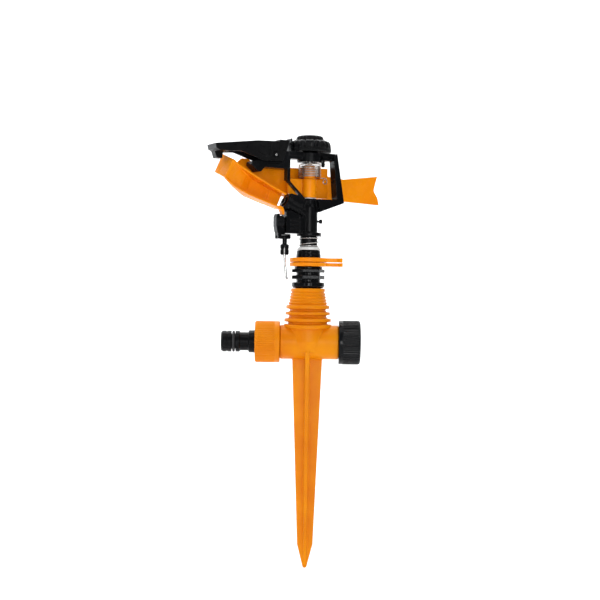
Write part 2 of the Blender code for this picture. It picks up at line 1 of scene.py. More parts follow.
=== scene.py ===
"""Looks of an impact (pulsating) garden sprinkler on a ground spike.

Every shape is drawn in millimetres in the CAD part's own frame (origin on the turning axis at the
soil line, +Z up, camera side -Y); the turning head in its own frame, which HEAD turns about Z.
"""

import json
import math

import bmesh
import bpy
import numpy as np
from mathutils import Matrix, Vector

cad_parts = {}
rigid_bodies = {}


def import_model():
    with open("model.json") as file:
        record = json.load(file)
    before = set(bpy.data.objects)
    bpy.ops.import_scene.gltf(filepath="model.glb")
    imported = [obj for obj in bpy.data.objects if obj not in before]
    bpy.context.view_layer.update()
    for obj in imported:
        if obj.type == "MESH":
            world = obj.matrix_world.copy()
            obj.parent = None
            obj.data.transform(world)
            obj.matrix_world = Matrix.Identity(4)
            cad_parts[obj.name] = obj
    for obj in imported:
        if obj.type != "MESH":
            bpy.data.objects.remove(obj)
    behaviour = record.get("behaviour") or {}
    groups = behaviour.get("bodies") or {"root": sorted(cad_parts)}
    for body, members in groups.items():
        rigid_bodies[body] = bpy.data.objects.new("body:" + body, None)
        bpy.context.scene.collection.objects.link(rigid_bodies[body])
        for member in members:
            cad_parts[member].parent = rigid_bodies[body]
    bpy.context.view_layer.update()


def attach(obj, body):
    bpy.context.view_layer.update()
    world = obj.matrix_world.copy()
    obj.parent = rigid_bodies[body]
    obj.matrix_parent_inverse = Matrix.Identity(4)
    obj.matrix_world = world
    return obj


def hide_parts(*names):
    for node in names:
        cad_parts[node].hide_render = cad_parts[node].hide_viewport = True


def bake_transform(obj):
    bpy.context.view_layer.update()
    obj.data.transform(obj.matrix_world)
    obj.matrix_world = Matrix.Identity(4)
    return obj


for leftover in list(bpy.data.objects):
    bpy.data.objects.remove(leftover, do_unlink=True)
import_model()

VOXEL = 1.0        # times each piece's own voxel size
HEAD = Matrix.Rotation(math.radians(26.0), 4, "Z")
SCALE = Matrix.Scale(0.001, 4)
RISE = math.radians(25.0)            # the jet's elevation
BARREL_Z = 13.7
FLAP_AXIS = (-31.6, 153.6)
TRIP_Z, KNUCKLE_Z = 104.0, 92.8

# ------------------------------------------------------------------ mesh tools


def link(obj):
    bpy.context.scene.collection.objects.link(obj)
    return obj


def from_data(name, verts, faces):
    mesh = bpy.data.meshes.new(name)
    mesh.from_pydata([tuple(v) for v in verts], [], [list(f) for f in faces])
    bm = bmesh.new()
    bm.from_mesh(mesh)
    bmesh.ops.recalc_face_normals(bm, faces=bm.faces)
    bm.to_mesh(mesh)
    bm.free()
    return link(bpy.data.objects.new(name, mesh))


def fillet(points, radius=0.35, n=3, closed=True):
    """The same outline with its corners rounded."""
    out = []
    count = len(points)
    for i, p in enumerate(points):
        r = radius[i] if isinstance(radius, (list, tuple)) else radius
        if r <= 0 or (not closed and i in (0, count - 1)):
            out.append(tuple(p))
            continue
        a, b, c = Vector(points[i - 1]), Vector(p), Vector(points[(i + 1) % count])
        u, v = a - b, c - b
        lu, lv = u.length, v.length
        u.normalize()
        v.normalize()
        angle = math.acos(max(-1.0, min(1.0, u.dot(v))))
        if angle > math.radians(172):
            out.append(tuple(p))
            continue
        t = min(r / math.tan(angle / 2), 0.45 * lu, 0.45 * lv)
        s, e = b + u * t, b + v * t
        for k in range(n + 1):
            q = k / n
            out.append(tuple(s * (1 - q) ** 2 + b * (2 * q * (1 - q)) + e * q * q))
    return out


def turned(name, profile, steps=96, closed=True, shape=None):
    """A turned solid about Z. shape(r, z, angle) gives what to add to (r, z) there."""
    verts, rows, faces = [], [], []
    for r, z in profile:
        if r < 1e-6:
            rows.append([len(verts)])
            verts.append((0, 0, z))
            continue
        row = []
        for i in range(steps):
            a = math.tau * i / steps
            dr, dz = shape(r, z, a) if shape else (0.0, 0.0)
            row.append(len(verts))
            verts.append(((r + dr) * math.cos(a), (r + dr) * math.sin(a), z + dz))
        rows.append(row)
    for a, b in list(zip(rows, rows[1:])) + ([(rows[-1], rows[0])] if closed else []):
        for i in range(steps):
            j = (i + 1) % steps
            if len(a) == 1 and len(b) == 1:
                continue
            if len(a) == 1:
                faces.append((a[0], b[i], b[j]))
            elif len(b) == 1:
                faces.append((a[i], b[0], a[j]))
            else:
                faces.append((a[i], b[i], b[j], a[j]))
    return from_data(name, verts, faces)


def rod(name, radius, z0, z1, steps=64, edge=0.0):
    e = min(edge, (z1 - z0) / 3)
    profile = [(0, z1), (radius, z1), (radius, z0), (0, z0)]
    if e:
        profile = fillet(profile, e, 3, closed=False)
    return turned(name, profile, steps, closed=False)


def ring(name, r0, r1, z0, z1, edge=0.25, steps=96):
    return turned(name, fillet([(r0, z1), (r1, z1), (r1, z0), (r0, z0)], edge), steps)


def prism(name, outline, y0, y1):
    """A flat outline [(x, z)] standing in the XZ plane, from y0 to y1."""
    k = len(outline)
    verts = [(x, y0, z) for x, z in outline] + [(x, y1, z) for x, z in outline]
    faces = [tuple(range(k)), tuple(range(2 * k - 1, k - 1, -1))]
    faces += [(i, (i + 1) % k, k + (i + 1) % k, k + i) for i in range(k)]
    return from_data(name, verts, faces)


def block(name, low, high):
    (a, b, c), (d, e, f) = low, high
    return prism(name, [(a, c), (d, c), (d, f), (a, f)], b, e)


def loft(name, rows):
    count = len(rows[0])
    verts = [p for row in rows for p in row]
    faces = [tuple(range(count))[::-1], tuple(range((len(rows) - 1) * count, len(rows) * count))]
    for k in range(len(rows) - 1):
        for i in range(count):
            j = (i + 1) % count
            faces.append((k * count + i, k * count + j, (k + 1) * count + j, (k + 1) * count + i))
    return from_data(name, verts, faces)


def smooth_path(points, step):
    """Points along a Catmull-Rom curve through the given ones."""
    p = [np.array(q, float) for q in points]
    p = [2 * p[0] - p[1]] + p + [2 * p[-1] - p[-2]]
    out = []
    for i in range(1, len(p) - 2):
        n = max(2, int(np.linalg.norm(p[i + 1] - p[i]) / step))
        for k in range(n):
            t = k / n
            out.append(0.5 * (2 * p[i] + (p[i + 1] - p[i - 1]) * t
                              + (2 * p[i - 1] - 5 * p[i] + 4 * p[i + 1] - p[i + 2]) * t ** 2
                              + (3 * p[i] - p[i - 1] - 3 * p[i + 1] + p[i + 2]) * t ** 3))
    out.append(p[-2])
    return out


def wire(name, points, radius, sides=12, tips=True):
    """A round wire along points, its ends slightly rounded."""
    pts = [np.array(p, float) for p in points]
    tangents = []
    for i in range(len(pts)):
        d = pts[min(i + 1, len(pts) - 1)] - pts[max(i - 1, 0)]
        tangents.append(d / np.linalg.norm(d))
    ref = np.cross(tangents[0], (0.3, 0.2, 1.0))
    if np.linalg.norm(ref) < 1e-3:
        ref = np.cross(tangents[0], (1.0, 0, 0))
    ref /= np.linalg.norm(ref)
    verts, rows = [], []

    def loop(centre, t, r):
        nonlocal ref
        ref = ref - t * np.dot(ref, t)
        ref /= np.linalg.norm(ref)
        side = np.cross(t, ref)
        row = []
        for k in range(sides):
            a = math.tau * k / sides
            row.append(len(verts))
            verts.append(centre + r * (math.cos(a) * ref + math.sin(a) * side))
        rows.append(row)

    if tips:
        loop(pts[0] - tangents[0] * radius * 0.35, tangents[0], radius * 0.6)
    for p, t in zip(pts, tangents):
        loop(p, t, radius)
    if tips:
        loop(pts[-1] + tangents[-1] * radius * 0.35, tangents[-1], radius * 0.6)
    faces = [tuple(rows[0][::-1]), tuple(rows[-1])]
    for a, b in zip(rows, rows[1:]):
        for i in range(sides):
            j = (i + 1) % sides
            faces.append((a[i], a[j], b[j], b[i]))
    return from_data(name, verts, faces)


def moved(obj, matrix):
    obj.data.transform(matrix)
    if matrix.determinant() < 0:
        obj.data.flip_normals()
    return obj


def shift(x, y, z):
    return Matrix.Translation((x, y, z))


def along_x(obj, x=0.0, y=0.0, z=0.0):
    return moved(obj, shift(x, y, z) @ Matrix.Rotation(math.pi / 2, 4, "Y"))


def along_v(obj, u, z):
    return moved(obj, shift(u, 0, z) @ Matrix.Rotation(math.pi / 2, 4, "X"))


def on_jet(obj):
    return moved(obj, shift(0, 0, 109.9) @ Matrix.Rotation(-(math.pi / 2 - RISE), 4, "Y"))


def evaluated(obj):
    """The object with its modifiers applied, as a new object under the same name."""
    bpy.context.view_layer.update()
    graph = bpy.context.evaluated_depsgraph_get()
    mesh = bpy.data.meshes.new_from_object(obj.evaluated_get(graph))
    name = obj.name
    bpy.data.objects.remove(obj, do_unlink=True)
    new = bpy.data.objects.new(name, mesh)
    return link(new)


def together(name, objs):
    bm = bmesh.new()
    for obj in objs:
        bm.from_mesh(obj.data)
    mesh = bpy.data.meshes.new(name)
    bm.to_mesh(mesh)
    bm.free()
    for obj in objs:
        bpy.data.objects.remove(obj, do_unlink=True)
    return link(bpy.data.objects.new(name, mesh))


def modified(obj, kind, **values):
    step = obj.modifiers.new(kind.title(), kind)
    for key, value in values.items():
        setattr(step, key, value)
    return evaluated(obj)


def moulded(name, adds, cuts=(), voxel=0.25, soften=4, keep=0.22):
    """One moulding: overlapping solids fused, cutters taken away, and every edge and inner corner
    rounded a little, as it comes out of a mould."""
    body = together(name, adds)
    body = modified(body, "REMESH", mode="VOXEL", voxel_size=voxel * VOXEL)
    if cuts:
        for cutter in cuts:
            step = body.modifiers.new("Cut", "BOOLEAN")
            step.operation, step.solver, step.object = "DIFFERENCE", "MANIFOLD", cutter
        body = evaluated(body)
        for cutter in cuts:
            bpy.data.objects.remove(cutter, do_unlink=True)
        body = modified(body, "REMESH", mode="VOXEL", voxel_size=voxel * VOXEL)
    body = modified(body, "SMOOTH", factor=0.5, iterations=max(1, int(soften / VOXEL)))
    return modified(body, "DECIMATE", ratio=keep)


# ------------------------------------------------------------------ materials


def shader_of(name):
    mat = bpy.data.materials.new(name)
    mat.use_nodes = True
    tree = mat.node_tree
    return mat, tree, tree.nodes["Principled BSDF"]


def node(tree, kind, **inputs):
    made = tree.nodes.new(kind)
    for key, value in inputs.items():
        made.inputs[key].default_value = value
    return made


def noise_at(tree, scale, detail=3.0, rough=0.5, stretch=None):
    coords = tree.nodes.new("ShaderNodeTexCoord")
    noise = node(tree, "ShaderNodeTexNoise", Scale=scale, Detail=detail, Roughness=rough)
    if stretch:
        mapping = tree.nodes.new("ShaderNodeMapping")
        mapping.inputs["Scale"].default_value = stretch
        tree.links.new(coords.outputs["Object"], mapping.inputs["Vector"])
        tree.links.new(mapping.outputs["Vector"], noise.inputs["Vector"])
    else:
        tree.links.new(coords.outputs["Object"], noise.inputs["Vector"])
    return noise.outputs["Fac"]


def ramp(tree, fac, stops):
    made = tree.nodes.new("ShaderNodeValToRGB")
    elements = made.color_ramp.elements
    while len(elements) < len(stops):
        elements.new(0.5)
    for element, (place, colour) in zip(elements, stops):
        element.position = place
        element.color = (*colour, 1.0)
    tree.links.new(fac, made.inputs["Fac"])
    return made.outputs["Color"]


def mixed(tree, fac, a, b, blend="MIX"):
    made = tree.nodes.new("ShaderNodeMix")
    made.data_type = "RGBA"
    made.blend_type = blend
    if isinstance(fac, float):
        made.inputs["Factor"].default_value = fac
    else:
        tree.links.new(fac, made.inputs["Factor"])
    for socket, value in (("A", a), ("B", b)):
        target = [s for s in made.inputs if s.name == socket and s.type == "RGBA"][0]
        if isinstance(value, tuple):
            target.default_value = (*value, 1.0)
        else:
            tree.links.new(value, target)
    return [s for s in made.outputs if s.type == "RGBA"][0]


def value_range(tree, fac, low, high, f0=0.0, f1=1.0):
    made = tree.nodes.new("ShaderNodeMapRange")
    made.inputs["From Min"].default_value = f0
    made.inputs["From Max"].default_value = f1
    made.inputs["To Min"].default_value = low
    made.inputs["To Max"].default_value = high
    tree.links.new(fac, made.inputs["Value"])
    return made.outputs["Result"]


def bumps(tree, shader, layers):
    """layers: (height socket, distance in metres)."""
    last = None
    for height, distance in layers:
        bump = tree.nodes.new("ShaderNodeBump")
        bump.inputs["Distance"].default_value = distance
        bump.inputs["Strength"].default_value = 0.7
        tree.links.new(height, bump.inputs["Height"])
        if last is not None:
            tree.links.new(last, bump.inputs["Normal"])
        last = bump.outputs["Normal"]
    tree.links.new(last, shader.inputs["Normal"])


def convex_edge_highlight_mask(tree, low, high):
    """Where the surface turns outwards: the mask for a painted highlight along convex edges."""
    geometry = tree.nodes.new("ShaderNodeNewGeometry")
    return value_range(tree, geometry.outputs["Pointiness"], 0.0, 1.0, low, high)


def moulded_plastic(name, deep, main, pale, rough, gloss_noise=0.06, edge=0.3, coat=0.0, specular=0.5):
    mat, tree, shader = shader_of(name)
    broad = noise_at(tree, 38.0, 4.0, 0.55)
    streak = noise_at(tree, 60.0, 3.0, 0.6, (1.0, 1.0, 0.18))
    colour = ramp(tree, broad, [(0.30, deep), (0.52, main), (0.78, pale)])
    flow = ramp(tree, streak, [(0.35, deep), (0.65, pale)])
    colour = mixed(tree, 0.16, colour, flow)
    # convex edges blended towards the pale tone: a painted highlight along the edges
    colour = mixed(tree, value_range(tree, convex_edge_highlight_mask(tree, 0.52, 0.60), 0.0, edge), colour, pale)
    tree.links.new(colour, shader.inputs["Base Color"])
    haze = noise_at(tree, 180.0, 5.0, 0.65)
    tree.links.new(value_range(tree, haze, rough - gloss_noise, rough + gloss_noise, 0.3, 0.7), shader.inputs["Roughness"])
    shader.inputs["Specular IOR Level"].default_value = specular
    shader.inputs["Coat Weight"].default_value = coat
    shader.inputs["Coat Roughness"].default_value = 0.12
    bumps(tree, shader, [(noise_at(tree, 900.0, 3.0, 0.6), 0.00003), (noise_at(tree, 5200.0, 2.0, 0.5), 0.000008),
                         (noise_at(tree, 120.0, 2.0, 0.4), 0.00005)])
    return mat


def steel(name, tint, rough):
    mat, tree, shader = shader_of(name)
    drawn = noise_at(tree, 700.0, 4.0, 0.6, (1.0, 1.0, 0.35))
    spots = noise_at(tree, 160.0, 4.0, 0.6)
    dark = tuple(c * 0.62 for c in tint)
    colour = ramp(tree, drawn, [(0.3, dark), (0.62, tint)])
    colour = mixed(tree, value_range(tree, spots, 0.0, 0.35, 0.5, 0.75), colour, tuple(c * 0.5 for c in tint))
    tree.links.new(colour, shader.inputs["Base Color"])
    shader.inputs["Metallic"].default_value = 1.0
    tree.links.new(value_range(tree, spots, rough - 0.06, rough + 0.14, 0.3, 0.7), shader.inputs["Roughness"])
    bumps(tree, shader, [(drawn, 0.00002)])
    return mat


def rubber(name):
    mat, tree, shader = shader_of(name)
    colour = ramp(tree, noise_at(tree, 300.0, 5.0, 0.6), [(0.3, (0.010, 0.010, 0.011)), (0.7, (0.032, 0.032, 0.034))])
    tree.links.new(colour, shader.inputs["Base Color"])
    tree.links.new(value_range(tree, noise_at(tree, 900.0), 0.6, 0.85), shader.inputs["Roughness"])
    bumps(tree, shader, [(noise_at(tree, 2600.0, 3.0, 0.7), 0.00003)])
    return mat


def nylon(name):
    mat, tree, shader = shader_of(name)
    colour = ramp(tree, noise_at(tree, 120.0, 4.0, 0.6), [(0.3, (0.62, 0.63, 0.62)), (0.7, (0.82, 0.82, 0.80))])
    colour = mixed(tree, value_range(tree, noise_at(tree, 420.0, 4.0, 0.7), 0.0, 0.25, 0.55, 0.8), colour, (0.42, 0.42, 0.40))
    tree.links.new(colour, shader.inputs["Base Color"])
    tree.links.new(value_range(tree, noise_at(tree, 300.0), 0.32, 0.5), shader.inputs["Roughness"])
    shader.inputs["Subsurface Weight"].default_value = 0.15
    shader.inputs["Subsurface Radius"].default_value = (0.002, 0.002, 0.002)
    bumps(tree, shader, [(noise_at(tree, 1500.0, 3.0, 0.6), 0.00002)])
    return mat


# in each call the value after the gloss spread sets how strongly convex edges get the painted edge highlight
ORANGE = moulded_plastic("orange_moulded", (0.82, 0.212, 0.0010), (0.885, 0.268, 0.0014), (0.94, 0.340, 0.003), 0.27, 0.05, 0.30, 0.0, 0.15)
ORANGE_BASE = moulded_plastic("orange_moulded_base", (0.70, 0.182, 0.0010), (0.76, 0.233, 0.0014), (0.83, 0.300, 0.003), 0.34, 0.06, 0.25, 0.0, 0.11)
BLACK = moulded_plastic("black_moulded", (0.0018, 0.0020, 0.0023), (0.0029, 0.0031, 0.0036), (0.0075, 0.0080, 0.0092), 0.22, 0.06, 0.5, 0.0, 0.10)
BLACK_SATIN = moulded_plastic("black_satin", (0.0030, 0.0030, 0.0031), (0.0047, 0.0047, 0.0049), (0.0105, 0.0105, 0.011), 0.33, 0.07, 0.5, 0.0, 0.09)
BLACK_GLOSS = moulded_plastic("black_gloss", (0.0016, 0.0017, 0.0020), (0.0025, 0.0027, 0.0031), (0.0065, 0.0070, 0.0082), 0.14, 0.05, 0.5, 0.0, 0.13)
STEEL = steel("drawn_steel", (0.66, 0.65, 0.63), 0.24)
# darker, orange-tinted steel for the arm's spring: a painted reflection of the orange plastic round it
STEEL_ORANGE_REFLECTION = steel("warm_steel", (0.56, 0.49, 0.43), 0.26)
STEEL_DARK = steel("dark_steel", (0.42, 0.41, 0.40), 0.34)
RUBBER = rubber("seal_rubber")
NYLON = nylon("white_nylon")


def piece(obj, name, look, body, replaces=(), head=False, sharp=40.0, ride=True):
    """The finished piece: in metres, in place, shaded, coloured, and riding on its body."""
    obj.data.transform((HEAD if head else Matrix.Identity(4)))
    obj.data.transform(SCALE)
    obj.name = name
    obj.data.name = name
    obj.data.materials.clear()
    obj.data.materials.append(look)
    obj.data.shade_smooth()
    if sharp:
        obj.data.set_sharp_from_angle(angle=math.radians(sharp))
    step = obj.modifiers.new("Normals", "WEIGHTED_NORMAL")
    step.keep_sharp = True
    if ride:
        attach(obj, body)
    if replaces:
        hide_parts(*replaces)
    return obj


# ------------------------------------------------------------------ the fixed base


def spike_base():
    rings = [(39.0, 41.7, 16.4), (34.4, 36.6, 16.9), (29.2, 31.7, 17.7)]
    profile = [(0, 54.4), (12.7, 54.4)]
    for i in range(5):
        z = 54.4 - 1.5 - 2.3 * i
        r = 12.7 + 0.45 * i
        profile += [(r + 0.35, z), (r + 0.35, z - 0.7), (r - 0.45, z - 1.0), (r - 0.45, z - 1.7)]
    for low, high, r in rings:
        profile += [(r - 3.0, high + 0.15), (r, high), (r + 0.1, low), (r - 2.9, low - 0.15)]
    profile += [(15.0, 22.0), (15.2, 14.0), (12.0, 6.0), (0, 6.0)]
    tower = turned("tower", fillet(profile, 0.45, 2, closed=False), 160, closed=False)

    def saddle(r, z, a):
        return 0.0, -0.6 * math.sin(a) ** 2 * min(1.0, (r - 13.0) / 3.0 if r > 13 else 0.0)

    lowest = turned("lowest", fillet([(12.0, 27.4), (17.9, 27.4), (18.0, 24.6), (12.0, 24.4)], 0.6), 160, shape=saddle)
    barrel = along_x(turned("barrel", fillet([(0, 23.3), (13.0, 23.3), (13.0, -20.6), (0, -20.6)], 0.5, 3, closed=False),
                            144, closed=False), 0, 0, BARREL_Z)
    spigot = [(0, 35.6), (11.9, 35.6)]
    for k in range(4):
        x = 34.4 - 2.4 * k
        spigot += [(12.3, x), (12.3, x - 0.7), (11.6, x - 1.2), (11.6, x - 1.9)]
    spigot += [(11.7, 20.0), (11.7, -17.0)]
    for k in range(4):
        x = -21.6 - 2.4 * k
        spigot += [(11.6, x), (12.3, x - 0.6), (12.3, x - 1.3), (11.6, x - 1.8)]
    spigot += [(11.9, -31.9), (0, -31.9)]
    spigot = along_x(turned("spigot", spigot, 144, closed=False), 0, 0, BARREL_Z)
    w, lw = 11.35, 5.9
    outline = [(w, 8.0), (w, 0.0), (lw, -139.7), (1.4, -157.2), (0, -157.8), (-1.4, -157.2), (-lw, -139.7), (-w, 0.0), (-w, 8.0)]
    blade = prism("blade", outline, -1.5, 1.5)
    rib_line = [(12.9, 6.4), (12.7, 3.0), (10.6, -2.0), (5.4, -139.7), (1.2, -155.2), (-1.2, -155.2), (-5.4, -139.7),
                (-10.6, -2.0), (-12.7, 3.0), (-12.9, 6.4)]
    rib = moved(prism("rib", rib_line, -1.6, 1.6), Matrix.Rotation(math.pi / 2, 4, "Z"))
    for web, axis in ((blade, 1), (rib, 0)):
        for vertex in web.data.vertices:
            fall = min(max(-vertex.co.z / 157.9, 0), 1)
            vertex.co[axis] *= 1 - 0.36 * fall
    cuts = [along_x(rod("bore", 9.6, -34, 38, 96), 0, 0, BARREL_Z), rod("riser", 7.0, BARREL_Z, 57, 96),
            rod("cavity", 9.9, 39.6, 57, 96)]
    body = moulded("spike_base", [tower, lowest, barrel, spigot, blade, rib], cuts, 0.3, 2, 0.2)
    piece(body, "spike_and_tower", ORANGE_BASE, "base", ["spike_base"], sharp=0)


def hose_nipple():
    profile = [(4.5, -34.5), (11.9, -34.5), (11.9, -36.9), (8.6, -36.9), (8.5, -44.1), (7.8, -44.7), (7.0, -44.8),
               (7.0, -51.0), (7.5, -51.1), (8.0, -51.6), (8.0, -54.4), (5.85, -54.4), (5.85, -57.6), (8.0, -57.6),
               (8.0, -60.4), (7.6, -60.7), (7.6, -61.4), (8.0, -61.7), (8.0, -63.9), (7.2, -65.4), (5.2, -65.4), (4.5, -64.6)]
    piece(along_x(turned("n", fillet(profile, 0.28), 144), 0, 0, BARREL_Z), "hose_adaptor", BLACK, "inlet", ["hose_nipple"])
    oring = [(7.05 + 0.98 * math.cos(math.tau * i / 20), -56.0 - 0.98 * math.sin(math.tau * i / 20)) for i in range(20)]
    piece(along_x(turned("o", oring, 120), 0, 0, BARREL_Z), "adaptor_o_ring", RUBBER, "inlet", ["nipple_o_ring"])
    piece(along_x(ring("g", 6.5, 11.8, -34.2, -32.2, 0.4), 0, 0, BARREL_Z), "inlet_washer", RUBBER, "inlet", ["inlet_gasket"])


def teeth(a, count, flat=0.35):
    """0 on a rib's crest, 1 in the groove between two ribs."""
    t = 0.5 - 0.5 * math.cos(a * count)
    return max(0.0, min(1.0, (t - flat) / (1 - flat))) ** 0.8


def union_nut():
    def ribbed(r, x, a):
        if r < 14.6 or x > -24.6:
            return 0.0, 0.0
        return -0.42 * teeth(a, 60) * min(1.0, (-24.6 - x) / 0.5), 0.0

    profile = [(12.6, -20.9), (15.2, -20.9), (15.75, -21.5), (15.75, -24.1), (15.7, -24.7), (15.7, -25.1), (15.7, -31.0),
               (15.7, -38.7), (15.0, -39.7), (8.8, -39.7), (8.8, -37.2), (12.6, -37.2)]
    piece(along_x(turned("nut", fillet(profile, 0.3), 480, shape=ribbed), 0, 0, BARREL_Z), "union_nut_ribbed", ORANGE_BASE,
          "union_nut", ["union_nut"], sharp=50)


def end_cap():
    def ribbed(r, x, a):
        if r < 15.3 or x < 26.6:
            return 0.0, 0.0
        return -0.40 * teeth(a, 54, 0.2) * min(1.0, (x - 26.6) / 0.5), 0.0

    profile = [(0, 39.5), (9.6, 39.5), (10.4, 40.1), (14.9, 40.1), (16.2, 39.5), (16.7, 38.3), (16.7, 27.2), (16.7, 26.7),
               (16.7, 26.0), (16.7, 24.0), (16.3, 23.6), (12.6, 23.6), (12.6, 38.0), (0, 38.0)]
    piece(along_x(turned("cap", fillet(profile, 0.3, 3, closed=False), 432, closed=False, shape=ribbed), 0, 0, BARREL_Z),
          "end_cap_ribbed", BLACK_GLOSS, "end_cap", ["end_cap"], sharp=50)
    piece(along_x(ring("g", 6.5, 11.8, 35.9, 37.7, 0.4), 0, 0, BARREL_Z), "end_cap_washer", RUBBER, "cap_seal", ["end_cap_gasket"])


def bearing():
    bore = 6.95
    core = turned("core", fillet([(bore, 83.3), (8.5, 83.3), (8.95, 82.8), (9.1, 81.2), (8.9, 80.9), (9.15, 80.6), (9.45, 78.1),
                                  (8.6, 77.95), (8.6, 70.8), (10.6, 70.8), (10.6, 69.0), (9.1, 68.8), (9.1, 59.2), (12.1, 59.0),
                                  (12.5, 58.6), (12.5, 56.1), (11.3, 54.7), (9.55, 54.7), (9.55, 46.6), (9.2, 46.1),
                                  (bore, 46.1)], 0.2, 2), 160)
    hexes = []
    for low, high, lead, top in ((61.4, 64.3, 0.25, 0.25), (66.5, 69.0, 0.25, 0.25)):
        r = 11.0 / math.cos(math.pi / 6)
        band = turned("hex", [(0, high), (r - top, high), (r, high - top), (r, low + lead), (r - lead, low), (0, low)], 6, closed=False)
        hexes.append(moved(band, Matrix.Rotation(math.radians(10.0), 4, "Z")))
    body = moulded("nut", [core] + hexes, [rod("hole", bore, 44, 86, 96)], 0.17, 3, 0.3)
    piece(body, "bearing_hex", BLACK_GLOSS, "base", ["bearing_nut"], sharp=0)
    piece(ring("w", 7.0, 9.4, 44.0, 45.8, 0.2), "lower_washer", NYLON, "base", ["stem_washer"])
    piece(ring("s", 7.0, 9.4, 42.6, 43.7, 0.3), "lower_seal", RUBBER, "base", ["stem_seal"])
    piece(turned("t", fillet([(7.0, 85.9), (7.6, 85.9), (8.3, 85.5), (8.8, 84.1), (8.8, 83.6), (7.0, 83.6)], 0.3, 4), 128),
          "spring_seat_washer", NYLON, "base", ["thrust_washer"])
    for name, body, low, high, spread, node_name in (("lower_finger_collar", "lower_collar", 71.1, 74.0, 3.0, "lower_collar"),
                                                     ("upper_finger_collar", "upper_collar", 74.4, 77.6, -3.0, "upper_collar")):
        mid = (low + high) / 2
        hoop = turned("hoop", fillet([(8.95, high), (13.9, high), (14.4, high - 0.5), (14.4, mid + 0.35), (14.15, mid),
                                      (14.4, mid - 0.35), (14.4, low + 0.5), (13.9, low), (8.95, low)], 0.2, 2), 144)
        flat = Matrix.Rotation(math.radians(spread), 4, "Z") @ Matrix.Rotation(-math.pi / 2, 4, "X")
        tab = moved(prism("tab", [(12.6, -3.4), (22.0, -3.0), (24.6, -4.6), (26.0, -3.2), (26.0, 3.2), (24.6, 4.6),
                                  (22.0, 3.0), (12.6, 3.4)], -(high - low) / 2 + 0.1, (high - low) / 2 - 0.1), shift(0, 0, mid) @ flat)
        grip = moved(block("grip", (24.2, -3.4, low - mid), (26.0, 3.4, high - mid)), shift(0, 0, mid) @ Matrix.Rotation(math.radians(spread), 4, "Z"))
        dish = moved(rod("dish", 1.9, -3, 3, 32), shift(0, 0, mid) @ Matrix.Rotation(math.radians(spread), 4, "Z") @ shift(19.9, 0, 0))
        piece(moulded(name, [hoop, tab, grip], [dish], 0.18, 2, 0.3), name, ORANGE, body, [node_name], sharp=0)


def stem():
    profile = [(4.4, 99.0), (5.5, 99.0), (5.5, 93.7), (6.6, 93.7), (6.6, 42.3), (9.3, 42.3), (9.3, 40.1), (4.4, 40.1)]
    piece(turned("stem", fillet(profile, 0.25), 128), "swivel_stem_tube", BLACK, "head", ["swivel_stem"], head=True)
    points = []
    for i in range(181):
        t = 2.7 * i / 180
        rise = min(max((t - 0.75) / 1.2, 0.0), 1.0)
        a = math.radians(200) + math.tau * t
        z = 86.45 + 0.55 * min(t, 0.75) + 5.5 * (rise * rise * (3 - 2 * rise) * 0.3 + rise * 0.7) + 0.55 * max(t - 1.95, 0.0)
        points.append((7.75 * math.cos(a), 7.75 * math.sin(a), z))
    piece(wire("w", points, 0.36), "thrust_spring", STEEL, "head", ["bearing_spring"], head=True, sharp=0)


# ------------------------------------------------------------------ the turning head


